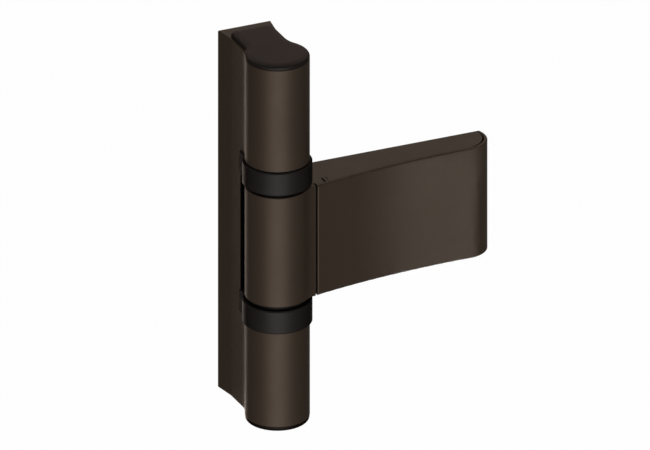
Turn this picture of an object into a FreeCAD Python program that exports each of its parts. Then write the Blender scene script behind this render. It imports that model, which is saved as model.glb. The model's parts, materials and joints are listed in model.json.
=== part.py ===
import FreeCAD, Part
import math
import os

os.makedirs("parts", exist_ok=True)

# Surface-mounted door hinge with three knuckles, shown closed. Millimetres.
# The origin is the middle of the frame fixing holes, on the face that lies on the door frame.
# X runs from the pin to the leaf, +Y into the door frame, +Z up. The pin axis is vertical.
# Plan sections are drawn by two numbers: how far right of the pin axis, and how far ahead of it.

# Heights, from the middle of the leaf
leaf_height = 37.2
collar_gap = 1.0
collar_height = 7.65
upper_barrel_length = 34.6
lower_barrel_length = 31.9

# Section of the frame profile
axis_to_wall = 25.0
barrel_radius = 10.0
neck_half_width = 7.75
neck_fillet = 9.0
foot_half_width = 8.8
foot_depth = 7.0
pocket_clearance = 0.4
end_rounding = 0.3

# Fixing holes of the frame profile, for countersunk screws
frame_hole_count = 4
frame_hole_spacing = 13.0
frame_hole_radius = 2.75
frame_head_radius = 5.2

# Pin and its bushes
pin_radius = 5.0
running_clearance = 0.05
seat_clearance = 0.02
bush_wall = 1.95
upper_sleeve_to_plug = 9.6
sleeve_end_room = 1.0
lip_radius = 9.0
lip_gap = 0.05
lip_recess_gap = 0.2
lip_recess_depth = 1.1
collar_overhang = 0.8
tail_overhang = 0.45
tail_fillet = 2.0
collar_chamfer = 0.35
pin_top_inset = 1.5
pin_bottom_overhang = 0.6
pin_chamfer = 0.8

# Screws that hold the pin in the middle knuckle
pin_screw_radius = 2.5
pin_screw_spacing = 20.0
pin_dimple_depth = 0.5
pin_screw_inset = 0.9
pin_screw_key = 2.5

# Height screw and the ball that the pin turns on
ball_radius = 3.0
ball_nip = 1.0
height_screw_radius = 6.0
height_screw_length = 12.0
height_screw_key = 6.0
height_key_depth = 5.0
height_screw_room = 5.3
screw_chamfer = 0.7

# Caps of the frame profile
cap_height = 1.5
cap_rim = 0.35
cap_round_width = 2.8
cap_edge_radius = 0.9
cap_seam = 0.2
cap_seam_inset = 0.5
cap_neck_inset = 0.6
cap_behind_axis = 21.0
cap_plug_length = 6.0
cap_plug_wall = 1.2
bottom_cap_height = 1.5
bottom_cap_inset = 0.1
bottom_cap_rounding = 1.1
bottom_plug_length = 3.5

# Section of the leaf and its cover
leaf_reach = 73.1
knuckle_to_sash = 0.35
front_radius = 260.0
front_low_x = 63.0
front_low_ahead = 0.55
nose_radius = 8.0
nose_relief = 0.5
cover_wall = 1.0
cover_clearance = 0.1
cover_left = 11.0
cover_joint = 0.7
joint_depth = 1.5
base_left = 12.0
base_fillet = 3.0
leaf_rounding = 0.4
cover_rounding = 0.4

# Hook of the cover in its groove
hook_left = 14.6
hook_wall = 0.75
hook_tip_ahead = 1.2
hook_foot = 0.5
hook_slack = 0.6
groove_gap = 0.15

# Fixing plate on the sash, and how far the leaf can be set sideways on it
plate_length = 39.6
plate_height = 30.0
plate_thickness = 4.0
plate_guide_gap = 0.1
plate_end_gap = 0.3
lateral_travel = 2.5
plate_corner = 1.5
sash_hole_spacing_x = 29.0
sash_hole_spacing_z = 19.0
sash_hole_radius = 2.6
sash_head_radius = 4.6

# Bridge across the recess, with the two clamp screws and their washers
bridge_width = 14.8
bridge_behind_cover = 2.9
recess_corner = 2.0
clamp_spacing = 18.0
clamp_radius = 2.5
clamp_slot_gap = 0.25
washer_radius = 4.9
washer_thickness = 0.8
clamp_head_radius = 4.4
clamp_head_height = 2.2
clamp_key = 3.0
clamp_key_depth = 1.3
clamp_tip_inset = 0.5

# Lateral screw, its threaded block on the plate and its clip
lateral_screw_behind = 5.5
lateral_screw_radius = 2.5
lateral_head_radius = 3.4
lateral_head_length = 2.8
lateral_head_gap = 0.2
lateral_head_room = 2.9
lateral_key = 3.0
lateral_key_depth = 2.0
nose_wall = 3.0
block_length = 8.0
block_width = 8.0
block_wall = 1.4
clip_radius = 4.2
clip_thickness = 0.7
clip_groove_depth = 0.5
clip_notch_depth = 1.5

# Places worked out from the sizes
leaf_top = leaf_height / 2
pocket_top = leaf_top + collar_gap + collar_height
frame_top = pocket_top + upper_barrel_length
frame_bottom = -pocket_top - lower_barrel_length
pocket_wall = barrel_radius + pocket_clearance
upper_sleeve_length = upper_barrel_length - cap_plug_length - upper_sleeve_to_plug
thrust_stack = pin_bottom_overhang + ball_nip + height_screw_length
lower_sleeve_length = lower_barrel_length - height_screw_room - thrust_stack
bush_bore = pin_radius + running_clearance
bush_radius = bush_bore + bush_wall
barrel_bore = bush_radius + seat_clearance
thread_bore = height_screw_radius + running_clearance
pin_top = pocket_top + upper_sleeve_length - pin_top_inset
pin_bottom = -pocket_top - lower_sleeve_length - pin_bottom_overhang
ball_middle = pin_bottom - ball_nip / 2
height_screw_top = ball_middle - ball_nip / 2
nose_x = leaf_reach - nose_radius
front_centre_ahead = front_low_ahead + front_radius
nose_drop = math.sqrt((front_radius + nose_radius) ** 2 - (nose_x - front_low_x) ** 2)
nose_ahead = front_centre_ahead - nose_drop
nose_start = math.degrees(math.atan2(nose_drop, front_low_x - nose_x))
leaf_back = barrel_radius + knuckle_to_sash
plate_front = plate_thickness - leaf_back
bridge_front = front_low_ahead - cover_wall - bridge_behind_cover
recess_half_length = plate_length / 2 + lateral_travel + plate_end_gap
recess_half_height = plate_height / 2 + plate_guide_gap
recess_right = leaf_reach - cover_wall - lateral_head_room - lateral_head_length - nose_wall
plate_middle_x = recess_right - recess_half_length
block_x = plate_middle_x + sash_hole_spacing_x / 2
arm_end = cover_left - cover_joint

# How far a cut reaches past what it cuts, and how near counts as touching
cut_margin = 1.0
touch = 1e-4

UP = FreeCAD.Vector(0, 0, 1)
RIGHT = FreeCAD.Vector(1, 0, 0)
AHEAD = FreeCAD.Vector(0, -1, 0)


def plan(x, ahead, z=0.0):
    """A point so far right of the pin axis and so far ahead of it."""
    return FreeCAD.Vector(x, -axis_to_wall - ahead, z)


def polar(centre_x, centre_ahead, radius, angle):
    """A point on a circle of the plan. The angle is in degrees, from right towards ahead."""
    turn = math.radians(angle)
    return plan(centre_x + radius * math.cos(turn), centre_ahead + radius * math.sin(turn))


def arc(centre_x, centre_ahead, radius, start, end):
    """An arc of the plan between two angles."""
    points = [polar(centre_x, centre_ahead, radius, a) for a in (start, (start + end) / 2, end)]
    return Part.Arc(*points).toShape()


def line(start, end):
    return Part.LineSegment(start, end).toShape()


def chain(points):
    """Straight edges through the points in turn."""
    return [line(a, b) for a, b in zip(points, points[1:])]


def prism(edges, bottom, top):
    """The closed outline in the plan, drawn up from one height to the other."""
    face = Part.Face(Part.Wire(edges))
    face.translate(UP * bottom)
    return face.extrude(UP * (top - bottom))


def block(x_from, x_to, ahead_from, ahead_to, z_from, z_to):
    """A box given by its limits."""
    corner = plan(x_from, ahead_to, z_from)
    return Part.makeBox(x_to - x_from, ahead_to - ahead_from, z_to - z_from, corner)


def upright(radius, z_from, z_to):
    """A cylinder on the pin axis."""
    return Part.makeCylinder(radius, z_to - z_from, plan(0, 0, z_from), UP)


def forward(radius, x, z, ahead_from, ahead_to):
    """A cylinder that points ahead."""
    return Part.makeCylinder(radius, ahead_to - ahead_from, plan(x, ahead_from, z), AHEAD)


def sideways(radius, x_from, x_to, ahead):
    """A cylinder that points right, at the leaf's middle height."""
    return Part.makeCylinder(radius, x_to - x_from, plan(x_from, ahead, 0), RIGHT)


def hex_hole(across_flats, depth, mouth, direction):
    """The space for a hexagon key, from its mouth along the direction."""
    radius = across_flats / math.sqrt(3)
    circle = Part.makeCircle(radius, mouth, direction)
    corners = [circle.valueAt(math.radians(60 * i)) for i in range(6)]
    face = Part.Face(Part.makePolygon(corners + corners[:1]))
    return face.extrude(direction * depth)


def slot(x, z, radius, half_travel, ahead_from, ahead_to):
    """A round-ended slot that runs sideways."""
    ends = [forward(radius, x + s * half_travel, z, ahead_from, ahead_to) for s in (-1, 1)]
    middle = block(x - half_travel, x + half_travel, ahead_from, ahead_to, z - radius, z + radius)
    return ends[0].fuse([ends[1], middle]).removeSplitter()


def countersink(x, z, hole, head, surface):
    """A right-angled countersink whose mouth lies on the surface."""
    return Part.makeCone(head, hole, head - hole, plan(x, surface, z), AHEAD * -1)


def edges_at(shape, z, keep=lambda edge: True):
    """The edges that lie flat at one height and pass the test."""
    flat = [e for e in shape.Edges if max(abs(e.BoundBox.ZMin - z), abs(e.BoundBox.ZMax - z)) < touch]
    return [e for e in flat if keep(e)]


def necked_edges(round_radius, half_width, fillet, back_edges):
    """A round head that runs through two fillets into a neck with parallel sides."""
    drop = math.sqrt((round_radius + fillet) ** 2 - (half_width + fillet) ** 2)
    lean = math.degrees(math.atan2(drop, half_width + fillet))
    edges = [arc(0, 0, round_radius, -lean, 180 + lean)]
    edges.append(arc(-half_width - fillet, -drop, fillet, lean, 0))
    edges += back_edges(-half_width, half_width, -drop)
    edges.append(arc(half_width + fillet, -drop, fillet, 180, 180 - lean))
    return edges


# Frame side

def profile_back(left, right, start):
    """From the neck to the foot that lies on the door frame."""
    waist = foot_depth - axis_to_wall
    return chain([plan(left, start), plan(left, waist), plan(-foot_half_width, -axis_to_wall),
                  plan(foot_half_width, -axis_to_wall), plan(right, waist), plan(right, start)])


def frame_profile():
    edges = necked_edges(barrel_radius, neck_half_width, neck_fillet, profile_back)
    body = prism(edges, frame_bottom, frame_top)
    body = body.makeFillet(end_rounding, edges_at(body, frame_bottom) + edges_at(body, frame_top))
    reach = barrel_radius + cut_margin
    body = body.cut(block(-reach, reach, -pocket_wall, reach, -pocket_top, pocket_top))
    wall_y = plan(0, -pocket_wall).y

    def off_wall(edge):
        return edge.CenterOfMass.y < wall_y - touch

    body = body.makeFillet(end_rounding, edges_at(body, -pocket_top, off_wall)
                           + edges_at(body, pocket_top, off_wall))
    sleeve_end = -pocket_top - lower_sleeve_length - sleeve_end_room
    cuts = [upright(barrel_bore, pocket_top, frame_top)]
    cuts.append(upright(barrel_bore, sleeve_end, -pocket_top))
    cuts.append(upright(thread_bore, frame_bottom, sleeve_end))
    for i in range(frame_hole_count):
        z = (i - (frame_hole_count - 1) / 2) * frame_hole_spacing
        cuts.append(forward(frame_hole_radius, 0, z, -axis_to_wall, -pocket_wall))
        cuts.append(countersink(0, z, frame_hole_radius, frame_head_radius, -pocket_wall))
    return body.cut(cuts)


def tail_back(left, right, start):
    return chain([plan(left, start), plan(left, -pocket_wall),
                  plan(right, -pocket_wall), plan(right, start)])


def bush(sleeve_length):
    """A flanged bush. Its flange shows as the collar, with a tail that stops it turning.

    A lip fills most of the gap, and dips into the knuckle when the height is changed.
    """
    width = neck_half_width + tail_overhang
    collar_bottom = leaf_top + collar_gap
    edges = necked_edges(barrel_radius + collar_overhang, width, tail_fillet, tail_back)
    collar = prism(edges, collar_bottom, pocket_top)
    rims = edges_at(collar, collar_bottom) + edges_at(collar, pocket_top)
    back = plan(0, -pocket_wall).y
    rims = [e for e in rims if abs(e.CenterOfMass.y - back) > touch]
    collar = collar.makeChamfer(collar_chamfer, rims)
    sleeve = upright(bush_radius, pocket_top, pocket_top + sleeve_length)
    lip_bottom = leaf_top + lip_gap
    lip = upright(lip_radius, lip_bottom, collar_bottom)
    bore = upright(bush_bore, lip_bottom, pocket_top + sleeve_length)
    return collar.fuse([sleeve, lip]).cut(bore)


def upper_bush():
    return bush(upper_sleeve_length)


def lower_bush():
    return bush(lower_sleeve_length).mirror(FreeCAD.Vector(0, 0, 0), UP)


def cap_back(left, right, start):
    """From the neck to the cap's back edge, with rounded corners."""
    back = -cap_behind_axis
    turn = back + cap_round_width
    edges = [line(plan(left, start), plan(left, turn))]
    edges.append(arc(left + cap_round_width, turn, cap_round_width, 180, 270))
    edges.append(line(plan(left + cap_round_width, back), plan(right - cap_round_width, back)))
    edges.append(arc(right - cap_round_width, turn, cap_round_width, 270, 360))
    edges.append(line(plan(right, turn), plan(right, start)))
    return edges


def pillow_face(edge_x, ahead, inward):
    """Upright face of what is cut away along the cap's edge. Its inner side is two tangent arcs."""
    rise = cap_height - cap_rim
    small = cap_edge_radius
    large = ((cap_round_width - small) ** 2 + rise ** 2 - small ** 2) / (2 * (rise - small))
    lean = math.atan2(large - rise, cap_round_width - small)

    def place(centre_in, centre_up, radius, angle):
        x = edge_x + inward * (centre_in - radius * math.cos(angle))
        return plan(x, ahead, frame_top + cap_rim + centre_up + radius * math.sin(angle))

    low = [place(small, 0, small, a) for a in (0, lean / 2, lean)]
    high = [place(cap_round_width, rise - large, large, a)
            for a in (lean, (lean + math.pi / 2) / 2, math.pi / 2)]
    outside = low[0] - RIGHT * inward * cut_margin
    edges = [Part.Arc(*low).toShape(), Part.Arc(low[-1], *high[1:]).toShape()]
    edges += chain([high[-1], high[-1] + UP * cut_margin, outside + UP * (rise + cut_margin),
                    outside, low[0]])
    return Part.Face(Part.Wire(edges))


def top_cap():
    """Cushion-topped cap on the profile's upper end, above a thin seam, with a hollow plug."""
    half_width = neck_half_width - cap_neck_inset
    edges = necked_edges(barrel_radius, half_width, neck_fillet, cap_back)
    cap = prism(edges, frame_top + cap_seam, frame_top + cap_height)
    seam = Part.Face(Part.Wire(edges)).makeOffset2D(-cap_seam_inset)
    seam.translate(UP * frame_top)
    drop = math.sqrt((barrel_radius + neck_fillet) ** 2 - (half_width + neck_fillet) ** 2)
    lean = math.degrees(math.atan2(drop, half_width + neck_fillet))
    rim = pillow_face(barrel_radius, 0, -1)
    rim.rotate(plan(0, 0), UP, lean)
    cuts = [rim.revolve(plan(0, 0), UP, -180 - 2 * lean)]
    turn = cap_round_width - cap_behind_axis
    for side in (-1, 1):
        centre = plan(side * (half_width + neck_fillet), -drop)
        flank = pillow_face(side * half_width, -drop, -side)
        cuts.append(flank.revolve(centre, UP, side * lean))
        cuts.append(flank.extrude(AHEAD * (drop - cap_behind_axis - cut_margin)))
        corner = pillow_face(side * half_width, turn, -side)
        centre = plan(side * (half_width - cap_round_width), turn)
        cuts.append(corner.revolve(centre, UP, side * 90))
    back = pillow_face(-cap_behind_axis, 0, 1)
    back.rotate(plan(0, 0), UP, -90)
    back.translate(RIGHT * (half_width + cut_margin))
    cuts.append(back.extrude(RIGHT * -2 * (half_width + cut_margin)))
    cap = cap.cut(cuts)
    plug_radius = barrel_bore - running_clearance
    plug_end = frame_top - cap_plug_length
    plug = upright(plug_radius, plug_end, frame_top)
    plug = plug.cut(upright(plug_radius - cap_plug_wall, plug_end, frame_top))
    return cap.fuse([seam.extrude(UP * cap_seam), plug])


def bottom_cap():
    """Round cap under the lower barrel, with a plug in its bore."""
    low = frame_bottom - bottom_cap_height
    disc = upright(barrel_radius - bottom_cap_inset, low, frame_bottom)
    disc = disc.makeFillet(bottom_cap_rounding, edges_at(disc, low))
    plug_radius = thread_bore - running_clearance
    plug_end = frame_bottom + bottom_plug_length
    plug = upright(plug_radius, frame_bottom, plug_end)
    return disc.fuse(plug.cut(upright(plug_radius - cap_plug_wall, frame_bottom, plug_end)))


def ball_seat(mouth, way):
    """Conical seat for the ball, opening at the mouth. Way is up or down into the metal."""
    tip = (ball_radius + seat_clearance) * math.sqrt(2)
    depth = tip - abs(mouth - ball_middle)
    return Part.makeCone(depth, 0, depth, plan(0, 0, mouth), UP * way)


def thrust_ball():
    return Part.makeSphere(ball_radius, plan(0, 0, ball_middle))


def height_screw():
    low = height_screw_top - height_screw_length
    screw = upright(height_screw_radius, low, height_screw_top)
    screw = screw.makeChamfer(screw_chamfer, edges_at(screw, low) + edges_at(screw, height_screw_top))
    key = hex_hole(height_screw_key, height_key_depth, plan(0, 0, low), UP)
    return screw.cut([ball_seat(height_screw_top, -1), key])


# Leaf side

def pin_screw_heights():
    return [side * pin_screw_spacing / 2 for side in (1, -1)]


def hinge_pin():
    pin = upright(pin_radius, pin_bottom, pin_top)
    pin = pin.makeChamfer(pin_chamfer, edges_at(pin, pin_top))
    cuts = [ball_seat(pin_bottom, 1)]
    floor = pin_radius - pin_dimple_depth
    for z in pin_screw_heights():
        cuts.append(forward(pin_screw_radius + seat_clearance, 0, z, -pin_radius - cut_margin, -floor))
    return pin.cut(cuts)


def pin_screw(z):
    """Set screw from the back of the knuckle, with its point in the pin."""
    outer = barrel_radius - pin_screw_inset
    floor = pin_radius - pin_dimple_depth
    screw = forward(pin_screw_radius, 0, z, -outer, -floor)
    key = hex_hole(pin_screw_key, (outer - floor) / 2, plan(0, -outer, z), AHEAD)
    return screw.cut(key)


def front_ahead(x, radius):
    """How far ahead the leaf's hollow front curve lies at x, for a curve of that radius."""
    return front_centre_ahead - math.sqrt(radius ** 2 - (x - front_low_x) ** 2)


def front_arc(x_from, x_to, radius):
    """A stretch of a front curve. All the front curves share one centre."""
    xs = (x_from, (x_from + x_to) / 2, x_to)
    return Part.Arc(*[plan(x, front_ahead(x, radius)) for x in xs]).toShape()


def nose_meet(radius):
    """Where the front curve of that radius runs into the nose."""
    return front_low_x + radius * (nose_x - front_low_x) / (front_radius + nose_radius)


def nose_end(radius):
    """The angle at which a nose of that radius reaches the leaf's back."""
    return -math.degrees(math.asin((leaf_back + nose_ahead) / radius))


def leaf_outline():
    """Knuckle, arm and base in one section, without the groove for the cover's hook."""
    inner = front_radius + cover_wall + cover_clearance
    corner = front_ahead(arm_end, front_radius)
    normal_x = (front_low_x - arm_end) / front_radius
    normal_ahead = (front_centre_ahead - corner) / front_radius
    spread = arm_end ** 2 + corner ** 2 - barrel_radius ** 2
    sweep = spread / (2 * (barrel_radius - arm_end * normal_x - corner * normal_ahead))
    sweep_x = arm_end + sweep * normal_x
    sweep_ahead = corner + sweep * normal_ahead
    leave = math.degrees(math.atan2(sweep_ahead, sweep_x))
    sweep_stop = 180 + math.degrees(math.atan2(normal_ahead, normal_x))
    cove_x = base_left - base_fillet
    cove_drop = math.sqrt((barrel_radius + base_fillet) ** 2 - cove_x ** 2)
    cove = math.degrees(math.atan2(cove_drop, cove_x))
    body_nose = nose_radius - cover_wall - cover_clearance
    stop = nose_end(body_nose)
    nose_points = [polar(nose_x, nose_ahead, body_nose, nose_start),
                   polar(nose_x, nose_ahead, body_nose - nose_relief, (nose_start + stop) / 2),
                   polar(nose_x, nose_ahead, body_nose, stop)]
    edges = [arc(0, 0, barrel_radius, -cove, leave - 360)]
    edges.append(arc(sweep_x, sweep_ahead, sweep, leave + 180, sweep_stop))
    edges.append(line(plan(arm_end, corner), plan(arm_end, front_ahead(arm_end, inner))))
    edges.append(front_arc(arm_end, nose_meet(inner), inner))
    edges.append(Part.Arc(*nose_points).toShape())
    edges += chain([nose_points[-1], plan(base_left, -leaf_back), plan(base_left, -cove_drop)])
    edges.append(arc(cove_x, -cove_drop, base_fillet, 0, 180 - cove))
    return edges


def recess(ahead_from, ahead_to, x_from, x_to):
    """A milled pocket of the plate's height, with rounded corners."""
    z = recess_half_height
    pocket = block(x_from, x_to, ahead_from, ahead_to, -z, z)
    long_edges = [e for e in pocket.Edges if e.BoundBox.YLength > 0.9 * (ahead_to - ahead_from)]
    return pocket.makeFillet(recess_corner, long_edges)


def leaf_body():
    body = prism(leaf_outline(), -leaf_top, leaf_top)

    def around_knuckle(edge):
        return edge.CenterOfMass.x < arm_end and edge.CenterOfMass.y > plan(0, barrel_radius).y

    rims = edges_at(body, -leaf_top, around_knuckle) + edges_at(body, leaf_top, around_knuckle)
    body = body.makeFillet(leaf_rounding, rims)
    ahead = barrel_radius
    foot_right = hook_left + hook_wall + hook_foot
    low = hook_tip_ahead - groove_gap
    groove_left = hook_left - hook_slack
    groove_right = hook_left + hook_wall + groove_gap
    foot_top = hook_tip_ahead + hook_wall + groove_gap
    groove = block(groove_left, groove_right, low, ahead, -leaf_top, leaf_top)
    undercut = block(groove_left, foot_right + groove_gap, low, foot_top, -leaf_top, leaf_top)
    left = plate_middle_x - recess_half_length
    bridge_left = plate_middle_x - bridge_width / 2
    bridge_right = plate_middle_x + bridge_width / 2
    cuts = [groove, undercut]
    joint_floor = front_ahead(arm_end, front_radius + cover_wall) - joint_depth
    cuts.append(block(arm_end, cover_left, joint_floor, ahead, -leaf_top, leaf_top))
    cuts.append(recess(-leaf_back - recess_corner, plate_front, left, recess_right))
    cuts.append(recess(bridge_front, ahead, left, recess_right))
    cuts.append(recess(-leaf_back, ahead, left, bridge_left))
    cuts.append(recess(-leaf_back, ahead, bridge_right, recess_right))
    for z in clamp_heights():
        radius = clamp_radius + clamp_slot_gap
        cuts.append(slot(plate_middle_x, z, radius, lateral_travel, plate_front, bridge_front))
    head_floor = recess_right + nose_wall
    cuts.append(sideways(lateral_screw_radius + running_clearance, recess_right, head_floor,
                         -lateral_screw_behind))
    cuts.append(sideways(lateral_head_radius + lateral_head_gap, head_floor, leaf_reach,
                         -lateral_screw_behind))
    cuts.append(upright(pin_radius + seat_clearance, -leaf_top, leaf_top))
    lip_recess = lip_radius + lip_recess_gap
    cuts.append(upright(lip_recess, leaf_top - lip_recess_depth, leaf_top))
    cuts.append(upright(lip_recess, -leaf_top, lip_recess_depth - leaf_top))
    for z in pin_screw_heights():
        cuts.append(forward(pin_screw_radius + seat_clearance, 0, z, -barrel_radius - cut_margin, 0))
    return body.cut(cuts)


def leaf_cover():
    """Slide-on shell over the leaf's front and nose, with a hook along its left side."""
    inner = front_radius + cover_wall
    nose_inner = nose_radius - cover_wall
    hook_right = hook_left + hook_wall
    foot_top = hook_tip_ahead + hook_wall
    outer_end = nose_end(nose_radius)
    inner_end = nose_end(nose_inner)
    edges = [front_arc(cover_left, nose_meet(front_radius), front_radius)]
    edges.append(arc(nose_x, nose_ahead, nose_radius, nose_start, outer_end))
    edges.append(line(polar(nose_x, nose_ahead, nose_radius, outer_end),
                      polar(nose_x, nose_ahead, nose_inner, inner_end)))
    edges.append(arc(nose_x, nose_ahead, nose_inner, inner_end, nose_start))
    edges.append(front_arc(nose_meet(inner), hook_right, inner))
    edges += chain([plan(hook_right, front_ahead(hook_right, inner)), plan(hook_right, foot_top),
                    plan(hook_right + hook_foot, foot_top), plan(hook_right + hook_foot, hook_tip_ahead),
                    plan(hook_left, hook_tip_ahead), plan(hook_left, front_ahead(hook_left, inner))])
    edges.append(front_arc(hook_left, cover_left, inner))
    edges.append(line(plan(cover_left, front_ahead(cover_left, inner)),
                      plan(cover_left, front_ahead(cover_left, front_radius))))
    cover = prism(edges, -leaf_top, leaf_top)

    def outside(edge):
        spot = edge.valueAt((edge.FirstParameter + edge.LastParameter) / 2)
        ahead = -axis_to_wall - spot.y
        off_front = math.hypot(spot.x - front_low_x, ahead - front_centre_ahead) - front_radius
        off_nose = math.hypot(spot.x - nose_x, ahead - nose_ahead) - nose_radius
        return min(abs(off_front), abs(off_nose)) < touch

    rims = edges_at(cover, -leaf_top, outside) + edges_at(cover, leaf_top, outside)
    rims += [e for e in cover.Edges if e.BoundBox.XMax < cover_left + touch and outside(e)]
    return cover.makeFillet(cover_rounding, rims)


def clamp_heights():
    return [side * clamp_spacing / 2 for side in (1, -1)]


def fixing_plate():
    """Steel plate screwed to the sash. Its block carries the thread of the lateral screw."""
    half = plate_length / 2
    left = plate_middle_x - half
    right = plate_middle_x + half
    plate = block(left, right, -leaf_back, plate_front, -plate_height / 2, plate_height / 2)
    short_edges = [e for e in plate.Edges if e.BoundBox.YLength > plate_thickness / 2]
    plate = plate.makeFillet(plate_corner, short_edges)
    block_top = lateral_screw_radius + block_wall - lateral_screw_behind
    nut = block(block_x - block_length / 2, block_x + block_length / 2, -leaf_back, block_top,
                -block_width / 2, block_width / 2)
    plate = plate.fuse(nut).removeSplitter()
    room = lateral_screw_radius + running_clearance
    notch = clip_radius + lateral_head_gap
    screw_tip = plate_middle_x + bridge_width / 2 + plate_end_gap
    cuts = [sideways(room, screw_tip - lateral_travel - plate_end_gap, right, -lateral_screw_behind)]
    cuts.append(block(right - clip_notch_depth, right, -leaf_back, plate_front, -notch, notch))
    for x_side in (-1, 1):
        for z_side in (-1, 1):
            x = plate_middle_x + x_side * sash_hole_spacing_x / 2
            z = z_side * sash_hole_spacing_z / 2
            cuts.append(forward(sash_hole_radius, x, z, -leaf_back, plate_front))
            cuts.append(countersink(x, z, sash_hole_radius, sash_head_radius, plate_front))
    for z in clamp_heights():
        cuts.append(forward(clamp_radius + seat_clearance, plate_middle_x, z, -leaf_back, plate_front))
    return plate.cut(cuts)


def clamp_washer(z):
    ring = forward(washer_radius, plate_middle_x, z, bridge_front, bridge_front + washer_thickness)
    return ring.cut(forward(clamp_radius + clamp_slot_gap, plate_middle_x, z, bridge_front,
                            bridge_front + washer_thickness))


def clamp_screw(z):
    """Low-headed screw that clamps the leaf on its plate."""
    under_head = bridge_front + washer_thickness
    top = under_head + clamp_head_height
    head = forward(clamp_head_radius, plate_middle_x, z, under_head, top)
    rim = [e for e in head.Edges if abs(e.CenterOfMass.y - plan(0, top).y) < touch and e.Closed]
    head = head.makeChamfer(clamp_head_height / 3, rim)
    shank = forward(clamp_radius, plate_middle_x, z, -leaf_back + clamp_tip_inset, under_head)
    key = hex_hole(clamp_key, clamp_key_depth, plan(plate_middle_x, top, z), AHEAD * -1)
    return head.fuse(shank).cut(key)


def lateral_screw():
    """Screw captive in the leaf's nose, turned from the outer end."""
    under_head = recess_right + nose_wall
    tip = plate_middle_x + bridge_width / 2 + plate_end_gap
    middle = -lateral_screw_behind
    shank = sideways(lateral_screw_radius, tip, under_head, middle)
    head = sideways(lateral_head_radius, under_head, under_head + lateral_head_length, middle)
    screw = shank.fuse(head)
    clip_left = recess_right - running_clearance - clip_thickness
    ring = sideways(lateral_screw_radius + 1, clip_left - running_clearance, recess_right, middle)
    ring = ring.cut(sideways(lateral_screw_radius - clip_groove_depth, clip_left - running_clearance,
                             recess_right, middle))
    mouth = plan(under_head + lateral_head_length, middle, 0)
    return screw.cut([ring, hex_hole(lateral_key, lateral_key_depth, mouth, RIGHT * -1)])


def lateral_screw_clip():
    """Open retaining clip in the screw's groove, against the recess wall."""
    middle = -lateral_screw_behind
    right = recess_right - running_clearance
    left = right - clip_thickness
    core = lateral_screw_radius - clip_groove_depth + seat_clearance
    ring = sideways(clip_radius, left, right, middle)
    mouth = block(left, right, middle, middle + clip_radius, -core, core)
    return ring.cut([sideways(core, left, right, middle), mouth])


nodes = {
    "frame_profile": frame_profile(),
    "upper_bush": upper_bush(),
    "lower_bush": lower_bush(),
    "top_cap": top_cap(),
    "bottom_cap": bottom_cap(),
    "height_screw": height_screw(),
    "thrust_ball": thrust_ball(),
    "hinge_pin": hinge_pin(),
    "leaf_body": leaf_body(),
    "leaf_cover": leaf_cover(),
    "fixing_plate": fixing_plate(),
    "lateral_screw": lateral_screw(),
    "lateral_screw_clip": lateral_screw_clip(),
}
for name, pin_z, clamp_z in zip(("upper", "lower"), pin_screw_heights(), clamp_heights()):
    nodes[name + "_pin_screw"] = pin_screw(pin_z)
    nodes[name + "_clamp_screw"] = clamp_screw(clamp_z)
    nodes[name + "_clamp_washer"] = clamp_washer(clamp_z)

for name, shape in nodes.items():
    shape.exportStep("parts/" + name + ".step")
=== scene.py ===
import json
import math
from collections import namedtuple

import bpy
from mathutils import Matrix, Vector


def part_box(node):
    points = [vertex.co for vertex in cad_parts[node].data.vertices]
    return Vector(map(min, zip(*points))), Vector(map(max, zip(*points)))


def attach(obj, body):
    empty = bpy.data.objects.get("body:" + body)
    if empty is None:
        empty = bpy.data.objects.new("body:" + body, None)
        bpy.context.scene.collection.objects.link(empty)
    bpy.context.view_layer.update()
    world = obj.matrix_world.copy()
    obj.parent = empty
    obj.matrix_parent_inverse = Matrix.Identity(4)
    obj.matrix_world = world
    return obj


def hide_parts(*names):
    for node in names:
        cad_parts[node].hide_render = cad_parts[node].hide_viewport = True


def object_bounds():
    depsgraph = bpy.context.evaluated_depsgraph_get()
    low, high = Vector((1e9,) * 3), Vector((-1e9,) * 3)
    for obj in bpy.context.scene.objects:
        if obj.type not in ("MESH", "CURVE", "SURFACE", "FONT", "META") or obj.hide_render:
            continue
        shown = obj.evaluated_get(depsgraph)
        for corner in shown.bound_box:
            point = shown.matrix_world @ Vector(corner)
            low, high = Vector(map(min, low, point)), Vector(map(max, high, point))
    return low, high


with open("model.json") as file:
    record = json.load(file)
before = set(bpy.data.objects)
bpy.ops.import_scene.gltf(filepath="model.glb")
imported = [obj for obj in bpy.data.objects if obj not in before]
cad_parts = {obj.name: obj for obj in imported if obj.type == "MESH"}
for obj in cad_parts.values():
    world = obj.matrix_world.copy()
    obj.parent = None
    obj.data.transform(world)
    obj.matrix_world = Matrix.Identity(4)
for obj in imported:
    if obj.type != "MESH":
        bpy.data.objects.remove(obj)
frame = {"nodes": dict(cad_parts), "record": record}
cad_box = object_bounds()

# The door hinge, dressed and lit as its photograph shows it. Lengths are in metres, in the
# frame of the CAD model, except where a comment says millimetres.

MM = 0.001
WHITE = (1.0, 1.0, 1.0)

nodes = frame["nodes"]
slot_of = {part["node"]: part["material_slot"] for part in frame["record"]["subparts"]}


# Placing things

def direction(azimuth, elevation):
    """From the object towards a viewer there. Azimuth 0 looks along +Y, in degrees."""
    a = math.radians(azimuth)
    e = math.radians(elevation)
    return Vector((math.sin(a) * math.cos(e), -math.cos(a) * math.cos(e), math.sin(e)))


def new_object(name, data):
    """An object in the scene's own collection."""
    obj = bpy.data.objects.new(name, data)
    bpy.context.scene.collection.objects.link(obj)
    return obj


def turn(obj, way):
    """The object's own +Z axis points that way."""
    obj.rotation_mode = "QUATERNION"
    obj.rotation_quaternion = way.to_track_quat("Z", "Y")


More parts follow.
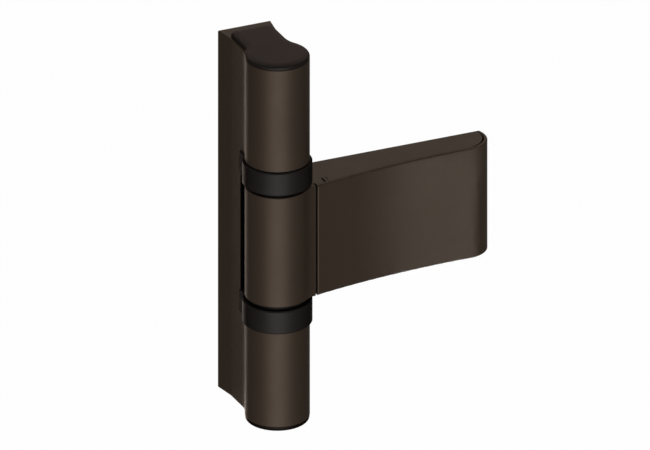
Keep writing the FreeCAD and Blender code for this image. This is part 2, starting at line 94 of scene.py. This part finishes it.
def place(name, data, target, way, distance):
    """A camera or lamp that stands off the target that way, and looks at it."""
    obj = new_object(name, data)
    obj.location = target + way * distance
    turn(obj, way)
    return obj


# Camera. The photograph is a parallel projection, so the camera is orthographic.

PHOTO_WIDTH = 650
PHOTO_PIXELS_PER_MM = 3.26
VIEW_AZIMUTH = -24.0
VIEW_ELEVATION = 25.3
VIEW_TARGET = Vector((13.37, -30.94, 4.91)) * MM
VIEW_DISTANCE = 1.2


def make_camera():
    data = bpy.data.cameras.new("camera")
    data.type = "ORTHO"
    data.ortho_scale = PHOTO_WIDTH / PHOTO_PIXELS_PER_MM * MM
    way = direction(VIEW_AZIMUTH, VIEW_ELEVATION)
    bpy.context.scene.camera = place("camera", data, VIEW_TARGET, way, VIEW_DISTANCE)


# Nodes of a material

# Nearly all of a noise lies between these two values
NOISE_LOW = 0.3
NOISE_HIGH = 0.7


class Tree:
    """A node tree with short ways to add and join its nodes."""

    def __init__(self, tree):
        self.tree = tree

    def set(self, socket, value):
        """Links the socket to another one, or gives it a value."""
        if isinstance(value, bpy.types.NodeSocket):
            self.tree.links.new(value, socket)
        elif isinstance(value, tuple) and len(value) == 3 and socket.type == "RGBA":
            socket.default_value = (*value, 1.0)
        else:
            socket.default_value = value

    def fill(self, node, **inputs):
        """Sets inputs of a node by their names, with underscores for spaces."""
        for name, value in inputs.items():
            self.set(node.inputs[name.replace("_", " ")], value)

    def add(self, kind, **inputs):
        node = self.tree.nodes.new(kind)
        self.fill(node, **inputs)
        return node

    def math(self, operation, a, b):
        node = self.tree.nodes.new("ShaderNodeMath")
        node.operation = operation
        self.set(node.inputs[0], a)
        self.set(node.inputs[1], b)
        return node.outputs[0]

    def mix(self, share, first, second):
        """The first shader, with that share of the second."""
        node = self.add("ShaderNodeMixShader", Fac=share)
        self.set(node.inputs[1], first)
        self.set(node.inputs[2], second)
        return node.outputs[0]

    def place_on_object(self):
        """The place in the object's own frame."""
        return self.add("ShaderNodeTexCoord").outputs["Object"]

    def spread(self, value, low, high):
        """A value from 0 to 1, spread from low to high."""
        return self.add("ShaderNodeMapRange", Value=value, To_Min=low, To_Max=high).outputs[0]

    def noise(self, size, detail=2.0, stretch=(1.0, 1.0, 1.0)):
        """Noise whose features are about that size, in millimetres."""
        mapping = self.add("ShaderNodeMapping", Vector=self.place_on_object(),
                           Scale=Vector(stretch))
        node = self.add("ShaderNodeTexNoise", Vector=mapping.outputs[0],
                        Scale=1.0 / (size * MM), Detail=detail)
        return node.outputs["Fac"]

    def tinted(self, colour, value, share):
        """The colour, darker and lighter by that share, following the value."""
        ramp = self.add("ShaderNodeValToRGB", Fac=value)
        dark, light = ramp.color_ramp.elements
        dark.position = NOISE_LOW
        dark.color = (*[c * (1 - share) for c in colour], 1.0)
        light.position = NOISE_HIGH
        light.color = (*[c * (1 + share) for c in colour], 1.0)
        return ramp.outputs[0]

    def bump(self, height, strength, depth, edge=0.0):
        """A bumpy normal, with sharp edges rounded by the edge radius. Millimetres."""
        node = self.add("ShaderNodeBump", Height=height, Strength=strength, Distance=depth * MM)
        if edge:
            bevel = self.add("ShaderNodeBevel", Radius=edge * MM)
            self.set(node.inputs["Normal"], bevel.outputs[0])
        return node.outputs[0]

    def shaded(self, colour, low_corner, high_corner, share):
        """Painted shade: the colour, brought down to that share of it between the two corners.
        Millimetres.
        """
        inside = 1.0
        axes = self.add("ShaderNodeSeparateXYZ", Vector=self.place_on_object()).outputs
        for along, low, high in zip(axes, low_corner, high_corner):
            inside = self.math("MULTIPLY", inside, self.math("GREATER_THAN", along, low * MM))
            inside = self.math("MULTIPLY", inside, self.math("LESS_THAN", along, high * MM))
        scaled = self.tree.nodes.new("ShaderNodeVectorMath")
        scaled.operation = "SCALE"
        self.set(scaled.inputs[0], colour)
        loss = self.math("MULTIPLY", inside, 1 - share)
        self.set(scaled.inputs["Scale"], self.math("SUBTRACT", 1.0, loss))
        return scaled.outputs[0]


def new_material(name):
    """A material with its tree and its shader."""
    material = bpy.data.materials.new(name)
    material.use_nodes = True
    return material, Tree(material.node_tree), material.node_tree.nodes["Principled BSDF"]


# Materials. Coat and plastics are metallic to the shader, with an edge colour far below white,
# which keeps them dark where light only grazes them. The steels are written darker than they
# are, to stand the strong lamps.

BRONZE = (0.0287, 0.0201, 0.0140)
BRONZE_EDGE = (0.5, 0.5, 0.5)
CAP_BROWN = (0.0108, 0.0090, 0.0078)
CAP_EDGE = (0.515, 0.495, 0.487)
# The bottom cap's colours are the cap plastic made darker: painted shade on a cap that faces down
BOTTOM_CAP_SHADE_BROWN = (0.0061, 0.0044, 0.0034)
BOTTOM_CAP_SHADE_EDGE = (0.43, 0.40, 0.39)
BUSH_BLACK = (0.0110, 0.0093, 0.0083)
BUSH_EDGE = (0.42, 0.42, 0.42)
ZINC = (0.220, 0.225, 0.232)
STEEL = (0.2, 0.2, 0.197)

# The pocket's wall in the frame profile is the plane y = POCKET_WALL, up and down to
# POCKET_HALF_HEIGHT. Its left half, deep in the gap, gets painted shade, nearly black. Millimetres.
POCKET_WALL = -14.6
POCKET_WALL_REACH = 0.05
POCKET_HALF_HEIGHT = 27.25
POCKET_LEFT = -20
POCKET_SHADE = 0.1


def bronze_coat(name, shade_pocket=False):
    """Satin dark bronze powder coat with metal flake: even, with a very fine grain.
    With shade_pocket, painted shade makes the left half of the pocket wall nearly black.
    """
    material, tree, shader = new_material(name)
    coat = tree.tinted(BRONZE, tree.noise(size=18, detail=3.0), share=0.03)
    # Painted shade: the left half of the pocket wall, in the gap behind the knuckle, is made nearly
    # black
    if shade_pocket:
        coat = tree.shaded(
            coat,
            low_corner=(POCKET_LEFT, POCKET_WALL - POCKET_WALL_REACH, -POCKET_HALF_HEIGHT),
            high_corner=(0, POCKET_WALL + POCKET_WALL_REACH, POCKET_HALF_HEIGHT),
            share=POCKET_SHADE,
        )
    sheen = tree.spread(tree.noise(size=5, detail=3.0), low=0.55, high=0.61)
    grain = tree.bump(tree.noise(size=0.35), strength=0.15, depth=0.02, edge=0.15)
    tree.fill(shader, Base_Color=coat, Roughness=sheen, Normal=grain,
              Metallic=1.0, Specular_Tint=BRONZE_EDGE)
    return material


def moulded_plastic(name, colour, edge_colour, roughness, grain_size):
    """Dark moulded plastic with a satin sheen. Its fine grain takes the gloss off its edges."""
    swing = 0.03
    material, tree, shader = new_material(name)
    grain = tree.noise(grain_size)
    sheen = tree.spread(grain, low=roughness - swing, high=roughness + swing)
    tint = tree.tinted(colour, tree.noise(size=6, detail=3.0), share=0.05)
    tree.fill(shader, Base_Color=tint, Roughness=sheen,
              Normal=tree.bump(grain, strength=0.2, depth=0.02),
              Metallic=1.0, Specular_Tint=edge_colour)
    return material


def cap_plastic():
    """The top cap's plastic, a little browner than the bushes."""
    return moulded_plastic("cap_plastic", CAP_BROWN, CAP_EDGE, roughness=0.5, grain_size=0.4)


def bottom_cap_plastic_painted_shade():
    """A darker copy of the cap's plastic for the bottom cap: painted shade, which keeps its rim
    nearly black.
    """
    return moulded_plastic("bottom_cap_plastic_painted_shade", BOTTOM_CAP_SHADE_BROWN, BOTTOM_CAP_SHADE_EDGE,
                           roughness=0.5, grain_size=0.4)


def bush_plastic():
    """The bushes' plastic, with a neutral edge and a finer grain."""
    return moulded_plastic("bush_plastic", BUSH_BLACK, BUSH_EDGE, roughness=0.55, grain_size=0.25)


def plated_steel():
    """Zinc plating: slightly cloudy, with a fine grain."""
    material, tree, shader = new_material("plated_steel")
    cloud = tree.noise(size=2.5, detail=4.0)
    tree.fill(shader, Base_Color=tree.tinted(ZINC, cloud, share=0.12),
              Roughness=tree.spread(cloud, low=0.34, high=0.48),
              Normal=tree.bump(tree.noise(size=0.3), strength=0.2, depth=0.01),
              Metallic=1.0)
    return material


def ground_steel():
    """Ground steel, with fine rings round the pin's axis."""
    material, tree, shader = new_material("ground_steel")
    rings = tree.noise(size=1.0, detail=4.0, stretch=(0.2, 0.2, 12.0))
    tree.fill(shader, Base_Color=tree.tinted(STEEL, rings, share=0.12),
              Roughness=tree.spread(rings, low=0.22, high=0.36),
              Normal=tree.bump(rings, strength=0.15, depth=0.01),
              Metallic=1.0)
    return material


MATERIALS = {
    "bronze_coat": bronze_coat("bronze_coat"),
    "cap_plastic": cap_plastic(),
    "bush_plastic": bush_plastic(),
    "plated_steel": plated_steel(),
    "ground_steel": ground_steel(),
}


def dress_nodes():
    """Every node of the frame takes the material of its slot, or one of its own."""
    own = {
        # The profile's coat, with painted shade on its pocket wall
        "frame_profile": bronze_coat("profile_coat_painted_shade", shade_pocket=True),
        # A darker copy of the cap plastic: painted shade on the bottom cap
        "bottom_cap": bottom_cap_plastic_painted_shade(),
    }
    for name, obj in nodes.items():
        for material_slot in obj.material_slots:
            material_slot.material = own.get(name, MATERIALS[slot_of[name]])


# Screws with real threads and key sockets, in place of the frame's plain ones. Millimetres.
# A screw is a list of rings, each a place along its axis and the radius there, or a rule that
# gives the radius from the angle and the place. They start at the bottom of the socket, come
# out of it, and go down the outside to the screw's end.

UP = Vector((0, 0, 1))
LEFT = Vector((-1, 0, 0))
BACK = Vector((0, 1, 0))

COLUMNS = 48
RINGS_PER_TURN = 8
SOCKET_LEAD = 0.15

# Edges that turn by more degrees than this look sharp
SHARP_ANGLE = 35

# Depth of a thread as a share of its pitch. The flanks rise faster than those of a plain V,
# so that crest and root each keep a flat.
THREAD_DEPTH = 0.6
FLANK_RISE = 1.3
FLAT_SHARE = 0.15

# The lead is the chamfer at the screw's end, which goes down to the end's radius
ThreadSize = namedtuple("ThreadSize", "radius pitch end_radius lead")
M12 = ThreadSize(radius=6, pitch=1.75, end_radius=5.3, lead=0.7)
M5 = ThreadSize(radius=2.5, pitch=0.8, end_radius=2, lead=0.4)


def hexagon(across_flats):
    """The radius of a hexagon, as a rule for a ring."""
    side = math.tau / 6
    return lambda angle, along: across_flats / 2 / math.cos(angle % side - side / 2)


def socket(across_flats, depth, mouth_radius):
    """Rings of a hexagon socket, from its floor out to the edge of its mouth."""
    return [
        (depth, hexagon(across_flats)),
        (SOCKET_LEAD, hexagon(across_flats)),
        (0, hexagon(across_flats + 2 * SOCKET_LEAD)),
        (0, mouth_radius),
    ]


def threaded_end(size, start, length):
    """Rings of a thread from there to the screw's end. It runs out at both of its own ends."""
    end = length - size.lead
    depth = THREAD_DEPTH * size.pitch

    def radius(angle, along):
        place_in_turn = (along / size.pitch - angle / math.tau) % 1
        flank = FLANK_RISE * abs(2 * place_in_turn - 1) - FLAT_SHARE
        groove = min(max(flank, 0), 1)
        run_out = min((along - start) / size.pitch, (end - along) / size.pitch, 1)
        return size.radius - depth * groove * max(run_out, 0)

    steps = math.ceil(RINGS_PER_TURN * (end - start) / size.pitch)
    rings = [(start + (end - start) * i / steps, radius) for i in range(steps + 1)]
    return rings + [(length, size.end_radius)]


def turned_mesh(name, rings):
    """A closed mesh through the rings."""
    vertices = []
    for along, radius in rings:
        for i in range(COLUMNS):
            angle = math.tau * i / COLUMNS
            r = radius(angle, along) if callable(radius) else radius
            vertices.append((r * math.cos(angle) * MM, r * math.sin(angle) * MM, along * MM))
    faces = [tuple(reversed(range(COLUMNS)))]
    for ring in range(len(rings) - 1):
        for i in range(COLUMNS):
            a = ring * COLUMNS + i
            b = ring * COLUMNS + (i + 1) % COLUMNS
            faces.append((a, b, b + COLUMNS, a + COLUMNS))
    faces.append(tuple(range(len(vertices) - COLUMNS, len(vertices))))
    mesh = bpy.data.meshes.new(name)
    mesh.from_pydata(vertices, [], faces)
    mesh.shade_smooth()
    mesh.set_sharp_from_angle(angle=math.radians(SHARP_ANGLE))
    return mesh


def length_of(node, way):
    """The length of a node along that way, in millimetres."""
    low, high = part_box(node)
    return abs((high - low).dot(way)) / MM


def make_screw(node, body, way, rings):
    """A screw in place of a node. Its rings count from the key's end of the node, along the way."""
    low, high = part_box(node)
    piece = new_object(node + "_threaded", turned_mesh(node + "_threaded", rings))
    piece.location = (low + high) / 2 - way * length_of(node, way) * MM / 2
    turn(piece, way)
    piece.data.materials.append(MATERIALS[slot_of[node]])
    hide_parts(node)
    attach(piece, body)


def make_height_screw():
    """M12 screw, driven from below, with the conical seat of the ball at its upper end."""
    seat_radius = 2.5
    seat_tip = 0.1
    length = length_of("height_screw", UP)
    rings = socket(across_flats=6, depth=5, mouth_radius=M12.end_radius)
    rings += threaded_end(M12, M12.lead, length)
    rings += [(length, seat_radius), (length - (seat_radius - seat_tip), seat_tip)]
    make_screw("height_screw", "height_screw", UP, rings)


def make_pin_screw(node):
    """M5 set screw that holds the pin, driven from the back of the knuckle."""
    rings = socket(across_flats=2.5, depth=2.3, mouth_radius=M5.end_radius)
    rings += threaded_end(M5, M5.lead, length_of(node, BACK))
    make_screw(node, "leaf", -BACK, rings)


def m5_head(radius, height, edge, socket_depth, mouth_radius):
    """Rings of a round head, down to its shank. Its edge is rounded through the given rings."""
    rings = socket(across_flats=3, depth=socket_depth, mouth_radius=mouth_radius)
    return rings + edge + [(height, radius), (height, M5.radius)]


def make_clamp_screw(node):
    """M5 low-headed screw that clamps the leaf on its plate, driven from the front."""
    radius = 4.4
    height = 2.2
    plain_length = 0.1
    rings = m5_head(radius, height, edge=[(0.2, 4), (0.75, radius)],
                    socket_depth=1.3, mouth_radius=3.5)
    rings += threaded_end(M5, height + plain_length, length_of(node, BACK))
    make_screw(node, "sash_plate", BACK, rings)


def make_lateral_screw():
    """M5 screw with a collar head, driven from the nose, and a groove for its clip."""
    radius = 3.4
    height = 2.8
    groove_radius = 2
    plain_length = 0.5
    key_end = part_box("lateral_screw")[1]
    clip_low, clip_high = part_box("lateral_screw_clip")
    groove_start = (key_end - clip_high).x / MM
    groove_end = (key_end - clip_low).x / MM
    rings = m5_head(radius, height, edge=[(0.3, 3.25), (0.55, radius)],
                    socket_depth=2, mouth_radius=2.8)
    rings += [(groove_start, M5.radius), (groove_start, groove_radius)]
    rings += [(groove_end, groove_radius), (groove_end, M5.radius)]
    start = groove_end + plain_length
    rings += threaded_end(M5, start, length_of("lateral_screw", LEFT))
    make_screw("lateral_screw", "lateral_screw", LEFT, rings)


def make_screws():
    make_height_screw()
    for side in ("upper", "lower"):
        make_pin_screw(side + "_pin_screw")
    for side in ("upper", "lower"):
        make_clamp_screw(side + "_clamp_screw")
    make_lateral_screw()


# Surroundings. World and floor give a dim light, but look white to the camera and in mirrors.

SKY_STRENGTH = 0.3

# The floor lies well below the hinge, which hangs on its door frame. Metres.
FLOOR_DROP = 0.5
FLOOR_HALF = 3.0
FLOOR_CORNERS = ((-1, -1), (1, -1), (1, 1), (-1, 1))
FLOOR_COLOUR = (0.84, 0.84, 0.84)
FLOOR_ROUGHNESS = 0.9
FLOOR_WHITE = 0.98


def seen_ray(tree):
    """1 for rays that show the background: straight, mirrored or through glass."""
    path = tree.add("ShaderNodeLightPath")
    shown = tree.math("MAXIMUM", path.outputs["Is Camera Ray"], path.outputs["Is Glossy Ray"])
    return tree.math("MAXIMUM", shown, path.outputs["Is Transmission Ray"])


def make_world():
    """A dim even sky that looks white."""
    world = bpy.data.worlds.new("studio")
    bpy.context.scene.world = world
    world.use_nodes = True
    tree = Tree(world.node_tree)
    sky = world.node_tree.nodes["Background"]
    tree.fill(sky, Color=WHITE, Strength=SKY_STRENGTH)
    white = tree.add("ShaderNodeBackground", Color=WHITE, Strength=1.0)
    shown = tree.mix(seen_ray(tree), sky.outputs[0], white.outputs[0])
    tree.set(world.node_tree.nodes["World Output"].inputs["Surface"], shown)


def floor_material():
    """Pale grey that looks almost white, with a trace of its shadows."""
    material, tree, shader = new_material("floor")
    tint = tree.tinted(FLOOR_COLOUR, tree.noise(size=200), share=0.01)
    tree.fill(shader, Base_Color=tint, Roughness=FLOOR_ROUGHNESS)
    glow = tree.add("ShaderNodeEmission", Color=WHITE, Strength=1.0)
    whiteness = tree.math("MULTIPLY", seen_ray(tree), FLOOR_WHITE)
    shown = tree.mix(whiteness, shader.outputs[0], glow.outputs[0])
    tree.set(material.node_tree.nodes["Material Output"].inputs["Surface"], shown)
    return material


def make_floor():
    """A wide flat floor. It is no part of the object."""
    height = cad_box[0].z - FLOOR_DROP
    mesh = bpy.data.meshes.new("floor")
    mesh.from_pydata([(x * FLOOR_HALF, y * FLOOR_HALF, height) for x, y in FLOOR_CORNERS],
                     [], [(0, 1, 2, 3)])
    mesh.materials.append(floor_material())
    floor = new_object("floor", mesh)


# Lamps. Their light is a touch cooler than the white surround, but for the two that have a
# colour of their own.

LAMP_COLOUR = (0.80, 0.88, 1.0)
COOL_LAMP_COLOUR = (0.67, 0.83, 1.0)
WARM_LAMP_COLOUR = (1.0, 0.84, 0.72)

HINGE_MIDDLE = Vector((10, -25, 0)) * MM
LEAF_END = Vector((63, -27, 0)) * MM
NECK = Vector((-8, -12, 0)) * MM


def make_lamp(name, azimuth, elevation, distance, width, height, power,
              target=HINGE_MIDDLE, spread=180.0, colour=LAMP_COLOUR):
    """A soft box that shines on the target. Degrees, metres and watts."""
    data = bpy.data.lights.new(name, "AREA")
    data.shape = "RECTANGLE"
    data.size = width
    data.size_y = height
    data.energy = power
    data.spread = math.radians(spread)
    data.color = colour
    lamp = place(name, data, target, direction(azimuth, elevation), distance)
    lamp.visible_camera = False


def make_lamps():
    make_lamp("front_box", azimuth=VIEW_AZIMUTH, elevation=-20, distance=0.6,
              width=0.6, height=0.4, power=6.2)
    make_lamp("back_box", azimuth=VIEW_AZIMUTH + 180, elevation=30, distance=1.0,
              width=0.9, height=0.6, power=7.4)
    make_lamp("leaf_box", azimuth=22, elevation=-25, distance=0.35,
              width=0.05, height=0.06, power=0.0055,
              target=LEAF_END, spread=4, colour=COOL_LAMP_COLOUR)
    make_lamp("neck_box", azimuth=175, elevation=-20, distance=0.7,
              width=0.3, height=0.4, power=3.7, target=NECK, colour=WARM_LAMP_COLOUR)
    make_lamp("top_box", azimuth=-10, elevation=24, distance=0.8,
              width=0.7, height=0.4, power=3.2)


make_camera()
dress_nodes()
make_screws()
make_world()
make_floor()
make_lamps()
bpy.context.scene.view_settings.view_transform = "Standard"
